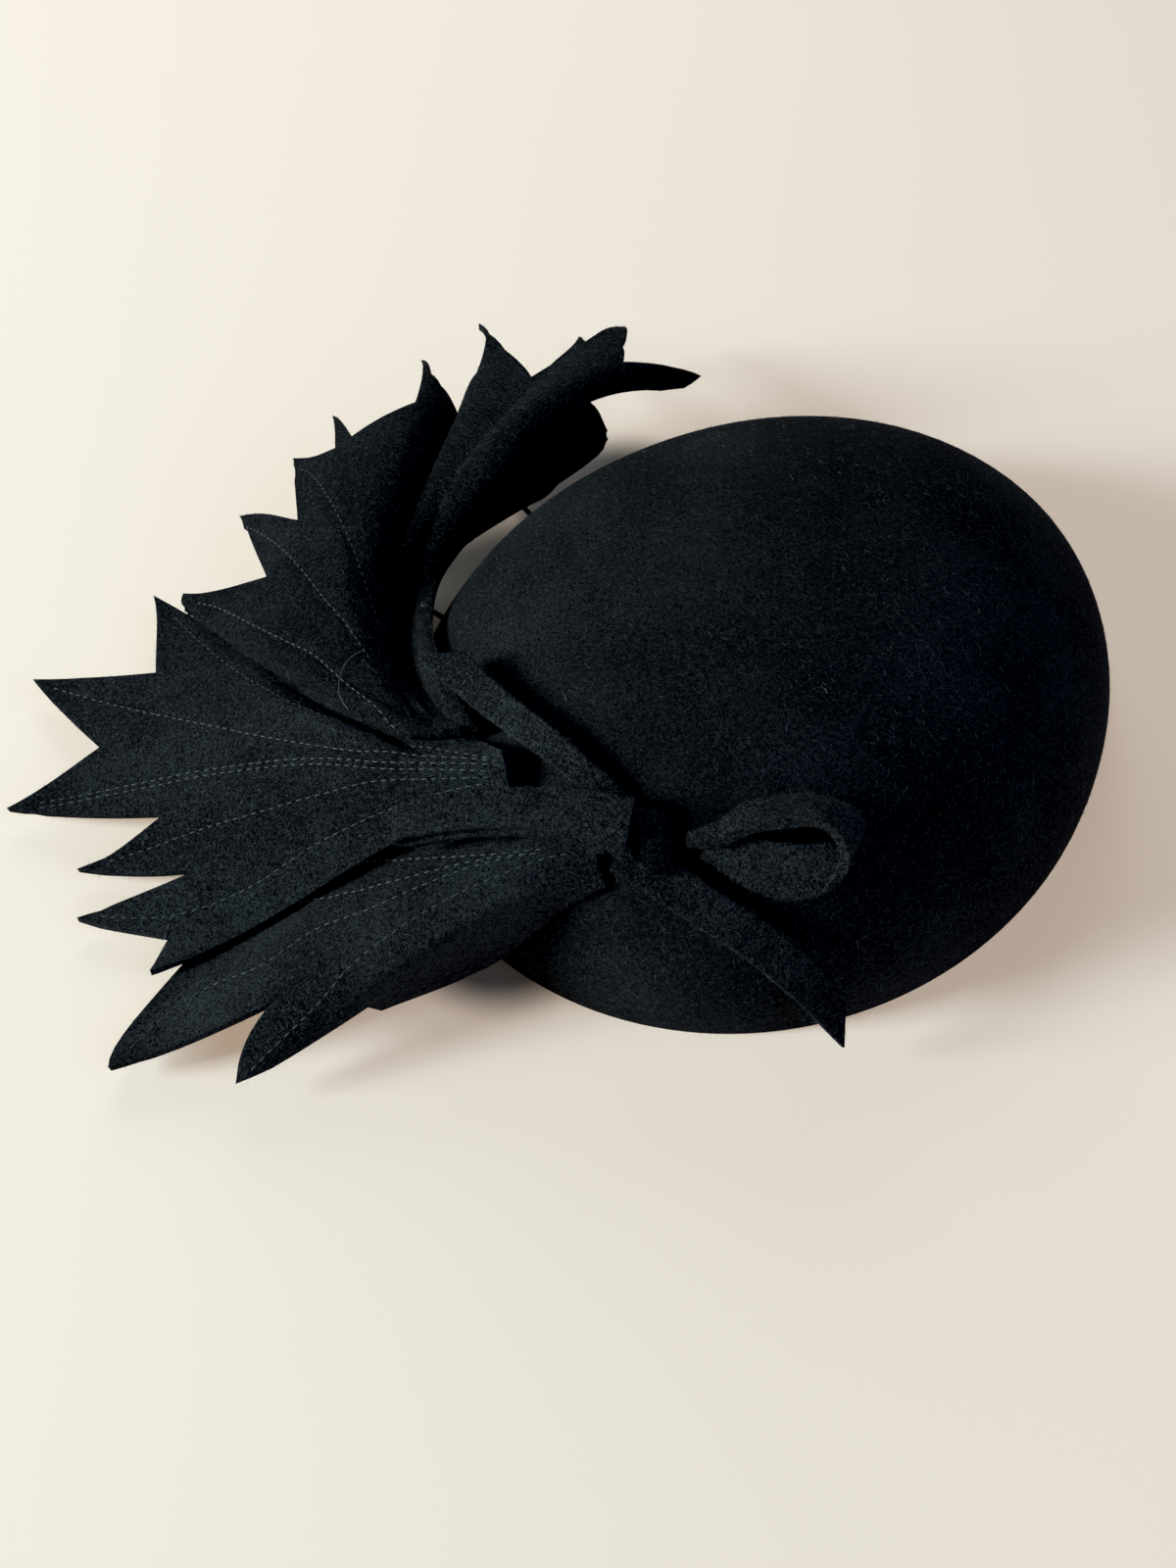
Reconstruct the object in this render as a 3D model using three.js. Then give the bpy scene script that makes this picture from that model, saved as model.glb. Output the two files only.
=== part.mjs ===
import * as THREE from "three";

// Felt, mm
const feltThickness = 2;
const feltColor = 0x0b0f11;
const feltRoughness = 0.95;

// Crown, mm and degrees
const crownHalfLength = 104.5;
const crownHalfWidth = 87.7;
const crownTurn = 43;
const crownEgg = -0.04;
const crownHeight = 58;
const crownSwell = 2.6;
const crownRings = 11;
const crownSides = 48;

// Leaves: rows from base to edge, columns between two outline points
const leafRows = 9;
const leafColumns = 3;

// Bow strips: columns over the width, steps between two table rows
const stripColumns = 2;
const stripSteps = 3;

// Knot: sides of its rounded section
const knotSides = 12;

// Leaves, mm. Each rib row is a fold line: its end, then its height and its sideways shift a third and two
// thirds of the way out. Each edge row is an outline point: its place across the ribs and the share of
// the rib that is felt there, tips and notches in turn. A higher hollow draws the teeth thinner.
const upperLeaf = {
  start: { x: -90, y: -40, z: 40.5 },
  finish: { x: -75, y: -39, z: 40.5 },
  hollow: 0.3,
  ribs: [
    { x: -158, y: 23, z: 12.5, thirdZ: 31, outerZ: 21, thirdSide: 0, outerSide: 0 },
    { x: -164, y: 33, z: 10, thirdZ: 34, outerZ: 23, thirdSide: 1, outerSide: 1 },
    { x: -152, y: 63, z: 11, thirdZ: 36, outerZ: 27, thirdSide: 4, outerSide: 3 },
    { x: -137, y: 80, z: 18, thirdZ: 37, outerZ: 32, thirdSide: 7, outerSide: 6 },
    { x: -129, y: 106, z: 12, thirdZ: 33, outerZ: 34, thirdSide: 9, outerSide: 7 },
    { x: -103, y: 133, z: 12, thirdZ: 27, outerZ: 32, thirdSide: 14, outerSide: 7 },
    { x: -88, y: 143, z: 15, thirdZ: 19, outerZ: 22, thirdSide: 15, outerSide: 5 },
    { x: -86, y: 152, z: 12, thirdZ: 21, outerZ: 33, thirdSide: 18, outerSide: -1 },
    { x: -52, y: 137, z: 18, thirdZ: 22, outerZ: 37, thirdSide: 30, outerSide: 10 },
    { x: -36, y: 142, z: 18, thirdZ: 22, outerZ: 38, thirdSide: 37, outerSide: 22 },
    { x: -14, y: 112, z: 24, thirdZ: 22, outerZ: 36, thirdSide: 47, outerSide: 41 },
    { x: -45, y: 98, z: 9, thirdZ: 23, outerZ: 12, thirdSide: 34, outerSide: 36 },
    { x: -52, y: 89, z: 8, thirdZ: 27, outerZ: 14, thirdSide: 30, outerSide: 31 },
  ],
  edge: [
    { at: 0, share: 1 },
    { at: 1, share: 1 },
    { at: 1.8, share: 0.68 },
    { at: 2, share: 1 },
    { at: 2.84, share: 0.73 },
    { at: 3, share: 1 },
    { at: 3.96, share: 0.77 },
    { at: 4, share: 1 },
    { at: 4.25, share: 0.74 },
    { at: 4.95, share: 0.75 },
    { at: 5, share: 1 },
    { at: 6, share: 0.74 },
    { at: 7, share: 1 },
    { at: 7.4, share: 0.84 },
    { at: 7.95, share: 0.77 },
    { at: 8, share: 1 },
    { at: 8.5, share: 0.93 },
    { at: 9, share: 1 },
    { at: 9.92, share: 0.87 },
    { at: 10, share: 1 },
    { at: 10.12, share: 0.96 },
    { at: 10.32, share: 0.88 },
    { at: 10.65, share: 0.93 },
    { at: 11, share: 1 },
    { at: 12, share: 1 },
  ],
};

const middleLeaf = {
  start: { x: -67, y: -57, z: 37.5 },
  finish: { x: -70, y: -48, z: 40.5 },
  hollow: 0.05,
  ribs: [
    { x: -153, y: -84, z: 6, thirdZ: 28, outerZ: 14, thirdSide: -5, outerSide: -4 },
    { x: -174, y: -69, z: 5, thirdZ: 29, outerZ: 17, thirdSide: -3, outerSide: -2 },
    { x: -177, y: -55, z: 5, thirdZ: 32, outerZ: 19, thirdSide: -2, outerSide: -1 },
    { x: -199, y: -37, z: 5, thirdZ: 33, outerZ: 21, thirdSide: 0, outerSide: 0 },
    { x: -202, y: 5, z: 6, thirdZ: 32, outerZ: 20, thirdSide: 2, outerSide: 2 },
    { x: -172, y: 32, z: 8, thirdZ: 27, outerZ: 15, thirdSide: 2, outerSide: 2 },
    { x: -148, y: 20, z: 6, thirdZ: 26, outerZ: 11, thirdSide: -3, outerSide: -4 },
  ],
  edge: [
    { at: 0, share: 1 },
    { at: 0.28, share: 0.89 },
    { at: 1, share: 1 },
    { at: 1.14, share: 0.7 },
    { at: 2, share: 1 },
    { at: 2.6, share: 0.7 },
    { at: 3, share: 1 },
    { at: 3.48, share: 0.78 },
    { at: 4, share: 1 },
    { at: 4.36, share: 0.76 },
    { at: 5, share: 1 },
    { at: 6, share: 1 },
  ],
};

const lowerLeaf = {
  start: { x: -47, y: -70, z: 39.5 },
  finish: { x: -41, y: -78, z: 36 },
  hollow: 0,
  ribs: [
    { x: -140, y: -68, z: 2.4, thirdZ: 27, outerZ: 10.4, thirdSide: -9, outerSide: -12 },
    { x: -158, y: -108, z: 6, thirdZ: 32, outerZ: 20, thirdSide: -6, outerSide: -5 },
    { x: -128, y: -112, z: 8, thirdZ: 34, outerZ: 25, thirdSide: -5, outerSide: -4 },
    { x: -97, y: -93, z: 6, thirdZ: 33, outerZ: 24, thirdSide: -2, outerSide: -1 },
    { x: -73, y: -84, z: 8, thirdZ: 31, outerZ: 21, thirdSide: 0, outerSide: 0 },
  ],
  edge: [
    { at: 0, share: 1 },
    { at: 1, share: 1 },
    { at: 1.42, share: 0.71 },
    { at: 2, share: 1 },
    { at: 2.64, share: 0.86 },
    { at: 3, share: 1 },
    { at: 4, share: 1 },
  ],
};

// Bow strips, mm and degrees: each row is a place on the middle line, the way its width runs and rises.
const leftLoop = {
  width: 11.5,
  slant: 0,
  rows: [
    { x: -45, y: -68, z: 48.5, across: 90, rise: 20 },
    { x: -53, y: -65, z: 48, across: 85, rise: 20 },
    { x: -66, y: -62.5, z: 45.5, across: 85, rise: 18 },
    { x: -80, y: -61.5, z: 42, across: 88, rise: 18 },
    { x: -90, y: -61, z: 38, across: 90, rise: 18 },
    { x: -92.5, y: -61, z: 35.6, across: 90, rise: 18 },
    { x: -89, y: -61, z: 34.6, across: 90, rise: 18 },
    { x: -80, y: -61.5, z: 38.6, across: 88, rise: 18 },
    { x: -66, y: -62.5, z: 42, across: 85, rise: 18 },
    { x: -53, y: -65, z: 44.6, across: 85, rise: 20 },
    { x: -45, y: -68, z: 45, across: 90, rise: 20 },
  ],
};

const rightLoop = {
  width: 12,
  slant: 0,
  rows: [
    { x: -34.5, y: -69, z: 46.3, across: 90, rise: 12 },
    { x: -26, y: -68.5, z: 47.8, across: 90, rise: 5 },
    { x: -15, y: -68, z: 50.5, across: 90, rise: -12 },
    { x: -4, y: -68, z: 51.5, across: 90, rise: -15 },
    { x: 5, y: -69.5, z: 50, across: 90, rise: -5 },
    { x: 9.5, y: -72, z: 47, across: 90, rise: 20 },
    { x: 5, y: -74.5, z: 43.6, across: 90, rise: 40 },
    { x: -3, y: -75, z: 43.2, across: 90, rise: 42 },
    { x: -10, y: -74.5, z: 43.7, across: 90, rise: 40 },
    { x: -16, y: -73.8, z: 44.2, across: 90, rise: 39 },
  ],
};

const upperTail = {
  width: 10.5,
  slant: 0,
  rows: [
    { x: -47, y: -62, z: 53, across: 33, rise: 5 },
    { x: -58, y: -51, z: 54, across: 33, rise: 5 },
    { x: -70, y: -36, z: 51, across: 30, rise: 5 },
    { x: -83, y: -17, z: 43, across: 22, rise: 0 },
  ],
};

const lowerTail = {
  width: 12.5,
  slant: 7,
  rows: [
    { x: -34, y: -75.5, z: 41.5, across: 38, rise: 14 },
    { x: -23, y: -82, z: 38.5, across: 40, rise: 20 },
    { x: -11.5, y: -88, z: 34, across: 45, rise: 24 },
    { x: 0, y: -94, z: 25.5, across: 52, rise: 28 },
    { x: 8, y: -97.5, z: 16.5, across: 60, rise: 30 },
  ],
};

// Knot, mm: each row is a place on its middle line and half its width and depth there.
const knot = [
  { x: -40, y: -63, z: 51.5, half: 2, depth: 1.5 },
  { x: -40, y: -64.5, z: 51, half: 3, depth: 2.5 },
  { x: -39.5, y: -69, z: 48.5, half: 3.6, depth: 3 },
  { x: -39, y: -74, z: 44.5, half: 3.4, depth: 2.8 },
  { x: -39, y: -77.5, z: 41.5, half: 2.2, depth: 1.8 },
];

const radians = Math.PI / 180;

// A body from corner points and triangles.
function solid(name, corners, faces) {
  const geometry = new THREE.BufferGeometry();
  geometry.setAttribute("position", new THREE.Float32BufferAttribute(corners.flat(), 3));
  geometry.setIndex(faces.flat());
  geometry.computeVertexNormals();
  const material = new THREE.MeshStandardMaterial({
    color: feltColor,
    roughness: feltRoughness,
    metalness: 0,
  });
  const mesh = new THREE.Mesh(geometry, material);
  mesh.name = name;
  return mesh;
}

// One ring point of the dome at a share of its steepness and an angle round it.
function domePoint(inset, steep, angle) {
  const reach = Math.pow(Math.sin(steep), 2 / crownSwell);
  const along = (crownHalfLength - inset) * reach * Math.cos(angle);
  const side = (crownHalfWidth - inset) * reach * Math.sin(angle) * (1 + crownEgg * Math.cos(angle));
  const turn = crownTurn * radians;
  return [
    along * Math.cos(turn) - side * Math.sin(turn),
    along * Math.sin(turn) + side * Math.cos(turn),
    (crownHeight - inset) * Math.cos(steep),
  ];
}

function crownShell() {
  const corners = [];
  const faces = [];
  const addSkin = (inset) => {
    const apex = corners.length;
    corners.push([0, 0, crownHeight - inset]);
    for (let ring = 1; ring <= crownRings; ring += 1) {
      for (let side = 0; side < crownSides; side += 1) {
        const steep = Math.PI / 2 * ring / crownRings;
        corners.push(domePoint(inset, steep, 2 * Math.PI * side / crownSides));
      }
    }
    return apex;
  };
  const outer = addSkin(0);
  const inner = addSkin(feltThickness);
  const at = (apex, ring, side) => apex + 1 + (ring - 1) * crownSides + side % crownSides;
  for (let side = 0; side < crownSides; side += 1) {
    faces.push([outer, at(outer, 1, side), at(outer, 1, side + 1)]);
    faces.push([inner, at(inner, 1, side + 1), at(inner, 1, side)]);
    for (let ring = 1; ring < crownRings; ring += 1) {
      faces.push([at(outer, ring, side), at(outer, ring + 1, side), at(outer, ring + 1, side + 1)]);
      faces.push([at(outer, ring, side), at(outer, ring + 1, side + 1), at(outer, ring, side + 1)]);
      faces.push([at(inner, ring, side), at(inner, ring + 1, side + 1), at(inner, ring + 1, side)]);
      faces.push([at(inner, ring, side), at(inner, ring, side + 1), at(inner, ring + 1, side + 1)]);
    }
    const rim = at(outer, crownRings, side);
    const nextInner = at(inner, crownRings, side + 1);
    faces.push([rim, at(inner, crownRings, side), nextInner]);
    faces.push([rim, nextInner, at(outer, crownRings, side + 1)]);
  }
  return solid("crown", corners, faces);
}

// A felt sheet from a grid of middle points, thickened to both sides.
function sheet(name, grid) {
  const rows = grid.length;
  const columns = grid[0].length;
  const corners = [];
  const faces = [];
  const within = (index, count) => Math.min(Math.max(index, 0), count - 1);
  const point = (row, column) => grid[within(row, rows)][within(column, columns)];
  const normals = grid.map((line, row) => line.map((unused, column) => {
    const along = point(row + 1, column).clone().sub(point(row - 1, column));
    const across = point(row, column + 1).clone().sub(point(row, column - 1));
    return across.cross(along).normalize();
  }));
  for (const side of [0.5, -0.5]) {
    grid.forEach((line, row) => line.forEach((place, column) => {
      const offset = normals[row][column].clone().multiplyScalar(side * feltThickness);
      corners.push(offset.add(place).toArray());
    }));
  }
  const count = rows * columns;
  const at = (row, column, skin) => skin * count + row * columns + column;
  const quad = (a, b, c, d) => faces.push([a, b, c], [a, c, d]);
  for (let row = 0; row + 1 < rows; row += 1) {
    for (let column = 0; column + 1 < columns; column += 1) {
      const next = column + 1;
      quad(at(row, column, 0), at(row, next, 0), at(row + 1, next, 0), at(row + 1, column, 0));
      quad(at(row, column, 1), at(row + 1, column, 1), at(row + 1, next, 1), at(row, next, 1));
    }
  }
  const last = columns - 1;
  for (let row = 0; row + 1 < rows; row += 1) {
    quad(at(row, 0, 0), at(row + 1, 0, 0), at(row + 1, 0, 1), at(row, 0, 1));
    quad(at(row, last, 0), at(row, last, 1), at(row + 1, last, 1), at(row + 1, last, 0));
  }
  for (let column = 0; column + 1 < columns; column += 1) {
    quad(at(0, column, 0), at(0, column, 1), at(0, column + 1, 1), at(0, column + 1, 0));
    const end = rows - 1;
    quad(at(end, column, 0), at(end, column + 1, 0), at(end, column + 1, 1), at(end, column, 1));
  }
  return solid(name, corners, faces);
}

// A smooth value between table rows.
function between(rows, key, place) {
  const first = Math.min(Math.floor(place), rows.length - 2);
  const t = place - first;
  const b = rows[first][key];
  const c = rows[first + 1][key];
  const a = first > 0 ? rows[first - 1][key] : 2 * b - c;
  const d = first + 2 < rows.length ? rows[first + 2][key] : 2 * c - b;
  const slope = (c - a) / 2;
  const bend = a - 2.5 * b + 2 * c - d / 2;
  const turn = 1.5 * (b - c) + (d - a) / 2;
  return b + t * (slope + t * (bend + t * turn));
}

// A cubic through four values spread evenly over a length.
function curve(values, share) {
  return values.reduce((sum, value, index) => {
    let weight = 1;
    for (let other = 0; other < 4; other += 1) {
      weight *= other === index ? 1 : (3 * share - other) / (index - other);
    }
    return sum + weight * value;
  }, 0);
}

// A point a share of the way out along a rib.
function ribPoint(leaf, place, share) {
  const value = (key) => between(leaf.ribs, key, place);
  const base = new THREE.Vector3().copy(leaf.start);
  base.lerp(leaf.finish, place / (leaf.ribs.length - 1));
  const end = new THREE.Vector3(value("x"), value("y"), value("z"));
  const shift = curve([0, value("thirdSide"), value("outerSide"), 0], share);
  const run = Math.hypot(end.x - base.x, end.y - base.y);
  const spot = base.clone().lerp(end, share);
  spot.x -= shift * (end.y - base.y) / run;
  spot.y += shift * (end.x - base.x) / run;
  spot.z = curve([base.z, value("thirdZ"), value("outerZ"), end.z], share);
  return spot;
}

// The toothed outline in finer steps, its sides drawn in between tips and notches.
function outline(leaf) {
  const places = [];
  leaf.edge.forEach((knot, index) => {
    places.push(knot);
    const next = leaf.edge[index + 1];
    for (let step = 1; next && step < leafColumns; step += 1) {
      const t = step / leafColumns;
      const drop = next.share - knot.share;
      const hollow = leaf.hollow * Math.abs(drop) * 4 * t * (1 - t);
      places.push({
        at: knot.at + t * (next.at - knot.at),
        share: knot.share + t * drop - hollow,
      });
    }
  });
  return places;
}

function leafSheet(name, leaf) {
  const places = outline(leaf);
  const grid = [];
  for (let row = 0; row <= leafRows; row += 1) {
    grid.push(places.map((spot) => ribPoint(leaf, spot.at, spot.share * row / leafRows)));
  }
  return sheet(name, grid);
}

// A strip along its middle line; slant draws out one corner of the far end.
function stripSheet(name, strip) {
  const grid = [];
  const steps = (strip.rows.length - 1) * stripSteps;
  for (let step = 0; step <= steps; step += 1) {
    const value = (key) => between(strip.rows, key, step / stripSteps);
    const across = value("across") * radians;
    const rise = value("rise") * radians;
    const side = new THREE.Vector3(
      Math.cos(across) * Math.cos(rise),
      Math.sin(across) * Math.cos(rise),
      Math.sin(rise),
    );
    const row = [];
    for (let column = 0; column <= stripColumns; column += 1) {
      const middle = new THREE.Vector3(value("x"), value("y"), value("z"));
      row.push(middle.addScaledVector(side, strip.width * (0.5 - column / stripColumns)));
    }
    grid.push(row);
  }
  const last = grid[grid.length - 1];
  const before = grid[grid.length - 2];
  last.forEach((place, column) => {
    const way = place.clone().sub(before[column]).normalize();
    place.addScaledVector(way, strip.slant * column / stripColumns);
  });
  return sheet(name, grid);
}

// The wrap across the middle of the bow, with rounded sections.
function knotBody(name) {
  const corners = [];
  const faces = [];
  const first = knot[0];
  const last = knot[knot.length - 1];
  const way = new THREE.Vector3(last.x - first.x, last.y - first.y, last.z - first.z).normalize();
  const side = new THREE.Vector3(1, 0, 0).addScaledVector(way, -way.x).normalize();
  const up = side.clone().cross(way);
  knot.forEach((row) => {
    for (let step = 0; step < knotSides; step += 1) {
      const angle = 2 * Math.PI * step / knotSides;
      const corner = new THREE.Vector3(row.x, row.y, row.z);
      corner.addScaledVector(side, row.half * Math.cos(angle));
      corner.addScaledVector(up, row.depth * Math.sin(angle));
      corners.push(corner.toArray());
    }
  });
  const at = (row, step) => row * knotSides + step % knotSides;
  for (let step = 0; step < knotSides; step += 1) {
    for (let row = 0; row + 1 < knot.length; row += 1) {
      faces.push([at(row, step), at(row + 1, step), at(row + 1, step + 1)]);
      faces.push([at(row, step), at(row + 1, step + 1), at(row, step + 1)]);
    }
  }
  const end = knot.length - 1;
  for (let step = 1; step + 1 < knotSides; step += 1) {
    faces.push([at(0, 0), at(0, step), at(0, step + 1)]);
    faces.push([at(end, 0), at(end, step + 1), at(end, step)]);
  }
  return solid(name, corners, faces);
}

const hat = new THREE.Group();
hat.name = "tilt_hat";
hat.add(crownShell());
hat.add(leafSheet("leaf_upper", upperLeaf));
hat.add(leafSheet("leaf_middle", middleLeaf));
hat.add(leafSheet("leaf_lower", lowerLeaf));
hat.add(stripSheet("bow_left_loop", leftLoop));
hat.add(stripSheet("bow_right_loop", rightLoop));
hat.add(stripSheet("bow_tail_upper", upperTail));
hat.add(stripSheet("bow_tail_lower", lowerTail));
hat.add(knotBody("bow_knot"));

// The origin goes to the middle of the underside.
const box = new THREE.Box3().setFromObject(hat);
const middle = box.getCenter(new THREE.Vector3());
hat.children.forEach((piece) => piece.geometry.translate(-middle.x, -middle.y, -box.min.z));

export default hat;
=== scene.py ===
import math
import random

import bmesh
import bpy
from mathutils import Matrix, Vector, noise
from mathutils.bvhtree import BVHTree
from mathutils.geometry import area_tri
from mathutils.kdtree import KDTree


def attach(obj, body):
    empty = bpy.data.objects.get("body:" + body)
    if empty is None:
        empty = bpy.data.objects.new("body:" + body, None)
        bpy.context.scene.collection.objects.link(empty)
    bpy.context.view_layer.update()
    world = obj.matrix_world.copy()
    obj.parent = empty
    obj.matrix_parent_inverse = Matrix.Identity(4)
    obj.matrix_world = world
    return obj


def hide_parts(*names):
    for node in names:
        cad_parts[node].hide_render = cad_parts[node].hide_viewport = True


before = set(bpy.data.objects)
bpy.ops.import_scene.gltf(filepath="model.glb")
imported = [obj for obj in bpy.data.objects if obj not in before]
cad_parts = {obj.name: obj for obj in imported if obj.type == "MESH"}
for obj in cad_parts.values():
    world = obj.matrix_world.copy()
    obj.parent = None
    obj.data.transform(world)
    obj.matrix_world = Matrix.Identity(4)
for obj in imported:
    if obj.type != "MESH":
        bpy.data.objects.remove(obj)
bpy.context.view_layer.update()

scene = bpy.context.scene
scene.view_settings.view_transform = "Standard"
scene.view_settings.use_curve_mapping = True
scene.view_settings.curve_mapping.black_level = (0.0030, 0.0031, 0.0025)  # the photo's deep shadows
mm = 0.001
feltThick = 2.0  # mm

# every table below counts in millimetres from the middle of the crown, on the floor
crownTop = max((v.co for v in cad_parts["crown"].data.vertices), key=lambda co: co.z)
middle = Vector((crownTop.x, crownTop.y, 0))
print("frame loaded, crown middle at", [round(c, 4) for c in middle])


def toFrame(x, y, z):
    return middle + Vector((x, y, z)) * mm


# smooth value of one column between table rows
def between(rows, column, at):
    first = max(0, min(int(at), len(rows) - 2))
    t = at - first
    b = rows[first][column]
    c = rows[first + 1][column]
    a = rows[first - 1][column] if first > 0 else 2 * b - c
    d = rows[first + 2][column] if first + 2 < len(rows) else 2 * c - b
    bend = a - 2.5 * b + 2 * c - d / 2
    turn = 1.5 * (b - c) + (d - a) / 2
    return b + t * ((c - a) / 2 + t * (bend + t * turn))


# cubic through four values spread evenly from 0 to 1
def throughFour(values, t):
    total = 0
    for i, value in enumerate(values):
        weight = 1
        for j in range(4):
            if j != i:
                weight *= (3 * t - j) / (i - j)
        total += weight * value
    return total


def smoothStep(low, high, value):
    t = max(0, min(1, (value - low) / (high - low)))
    return t * t * (3 - 2 * t)


def meshObject(bm, name, material):
    mesh = bpy.data.meshes.new(name)
    bm.to_mesh(mesh)
    bm.free()
    mesh.materials.append(material)
    piece = bpy.data.objects.new(name, mesh)
    scene.collection.objects.link(piece)
    return piece


def newPiece(bm, name, material, node=None, smooth=True):
    piece = meshObject(bm, name, material)
    piece.data.polygons.foreach_set("use_smooth", [smooth] * len(piece.data.polygons))
    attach(piece, "root")
    if node:
        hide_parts(node)
    return piece


# felt thickness and a softly rounded cut edge
# offset: -1 keeps the felt inside the shaped surface, 0 lays it on both sides
def thicken(piece, offset, edgeRound):
    solid = piece.modifiers.new("felt", "SOLIDIFY")
    solid.thickness = feltThick * mm
    solid.offset = offset
    solid.use_rim = True
    edge = piece.modifiers.new("cut edge", "BEVEL")
    edge.width = edgeRound * mm
    edge.segments = 3
    edge.limit_method = "ANGLE"
    edge.angle_limit = math.radians(50)
    edge.harden_normals = False


def surfaceOf(piece):
    bpy.context.view_layer.update()
    return BVHTree.FromObject(piece, bpy.context.evaluated_depsgraph_get())


# Materials

def newMaterial(name):
    material = bpy.data.materials.new(name)
    material.use_nodes = True
    return material, material.node_tree.nodes["Principled BSDF"]


def addNode(nodes, kind, **values):
    node = nodes.new(kind)
    for key, value in values.items():
        if key in node.inputs:
            node.inputs[key].default_value = value
        else:
            setattr(node, key, value)
    return node


# texture scales count per metre, tones stand at their places in the fibre pattern
feltLook = {
    "dark": (0.0040, 0.0045, 0.0050),
    "mid": (0.0056, 0.0063, 0.0068),
    "light": (0.0250, 0.0280, 0.0295),
    "places": {"dark": 0.74, "mid": 0.89, "light": 1.0},
    "contrast": {"dark": -0.35, "mid": -0.3, "light": 0.8},  # how coarser felt changes each tone
    "fibres": {"Scale": 1450, "Detail": 6, "Roughness": 0.75, "Distortion": 1.2},
    "fineFibres": {"Scale": 3915, "Detail": 3, "Roughness": 0.7, "Distortion": 0.6},
    "patches": {"Scale": 26, "Detail": 3, "Roughness": 0.55},
    "fineShare": 0.6,
    "patchShare": 0.22,
    "tilt": (0.4, 0.7),  # turns the pattern off the axes
    "bump": 0.42,
    "bumpDepth": 0.4,  # mm
    "roughness": 0.92,
    "specular": 0.01,
    "sheen": 0.006,
    "sheenRoughness": 0.45,
    "sheenTint": (0.75, 0.80, 0.80, 1),
    "crownCoarse": 1.1,
    "trimCoarse": 2.0,  # leaves and bow are of coarser felt than the crown
}


# each piece's felt colours are scaled up or down to paint light and shade: lighter where more light
# falls on it, darker where less
def feltTone(key, coarse, paintedLightShade):
    return tuple(c * paintedLightShade * coarse ** feltLook["contrast"][key] for c in feltLook[key]) + (1,)


# adds a share of one node's output to another's
def addShare(nodes, links, part, share, rest):
    total = addNode(nodes, "ShaderNodeMath", operation="MULTIPLY_ADD")
    total.inputs[1].default_value = share
    links.new(part, total.inputs[0])
    links.new(rest, total.inputs[2])
    return total.outputs["Value"]


def feltMaterial(name, paintedLightShade, coarse, grain):
    material, shader = newMaterial(name)
    nodes, links = material.node_tree.nodes, material.node_tree.links
    coords = addNode(nodes, "ShaderNodeTexCoord")
    tiltX, tiltY = feltLook["tilt"]
    mapping = addNode(nodes, "ShaderNodeMapping", Rotation=(tiltX + grain, tiltY, grain))
    links.new(coords.outputs["Object"], mapping.inputs["Vector"])
    noises = []
    for key in ("fibres", "fineFibres", "patches"):
        texture = addNode(nodes, "ShaderNodeTexNoise", **feltLook[key])
        links.new(mapping.outputs["Vector"], texture.inputs["Vector"])
        noises.append(texture.outputs["Fac"])
    fibres, fine, patches = noises
    relief = addShare(nodes, links, fine, feltLook["fineShare"], fibres)
    shade = addShare(nodes, links, patches, feltLook["patchShare"], relief)
    ramp = addNode(nodes, "ShaderNodeValToRGB")
    stops = ramp.color_ramp.elements
    stops[0].position = feltLook["places"]["dark"]
    stops[0].color = feltTone("dark", coarse, paintedLightShade)
    stops[1].position = feltLook["places"]["light"]
    stops[1].color = feltTone("light", coarse, paintedLightShade)
    stops.new(feltLook["places"]["mid"]).color = feltTone("mid", coarse, paintedLightShade)
    links.new(shade, ramp.inputs["Fac"])
    links.new(ramp.outputs["Color"], shader.inputs["Base Color"])
    bump = addNode(nodes, "ShaderNodeBump", Strength=feltLook["bump"] * coarse,
                   Distance=feltLook["bumpDepth"] * coarse * mm)
    links.new(relief, bump.inputs["Height"])
    links.new(bump.outputs["Normal"], shader.inputs["Normal"])
    shader.inputs["Roughness"].default_value = feltLook["roughness"]
    shader.inputs["Specular IOR Level"].default_value = feltLook["specular"]
    shader.inputs["Sheen Weight"].default_value = feltLook["sheen"]
    shader.inputs["Sheen Roughness"].default_value = feltLook["sheenRoughness"]
    shader.inputs["Sheen Tint"].default_value = feltLook["sheenTint"]
    return material


# felt of a leaf or of a piece of the bow, painted lighter or darker for how much light falls on that
# piece, and with its grain turned
def trimFelt(look):
    return feltMaterial(look["name"], look["paintedLightShade"], feltLook["trimCoarse"], look["grain"])


# plain fibre or thread of one colour
def plainMaterial(name, color, roughness, specular):
    material, shader = newMaterial(name)
    shader.inputs["Base Color"].default_value = (*color, 1)
    shader.inputs["Roughness"].default_value = roughness
    shader.inputs["Specular IOR Level"].default_value = specular
    return material


stitchThread = plainMaterial("stitch thread", color=(0.055, 0.062, 0.062), roughness=0.5, specular=0.4)
tackThread = plainMaterial("tack thread", color=(0.004, 0.005, 0.006), roughness=0.6, specular=0.3)
napFibre = plainMaterial("nap fibre", color=(0.075, 0.09, 0.095), roughness=0.8, specular=0.3)
lintFibre = plainMaterial("lint fibre", color=(0.16, 0.165, 0.155), roughness=0.8, specular=0.3)
print("materials made")


# Crown

crown = {
    "name": "felt_crown",
    "node": "crown",
    # painted light and shade: the crown's felt is painted a little darker for how light falls on it
    "paintedLightShade": 0.92,
    "grain": 0,
    "halfLength": 104.5,
    "halfWidth": 87.7,
    "height": 58,
    "turn": math.radians(43),
    "egg": -0.04,
    "swell": 2.6,
    "segments": 160,
    "rings": 120,
    "rimRound": 0.7,
    "unevenness": 0.35,
    "unevenSize": 40,
    "evenRim": 12,  # the felt grows uneven over this height above the rim
}


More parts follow.
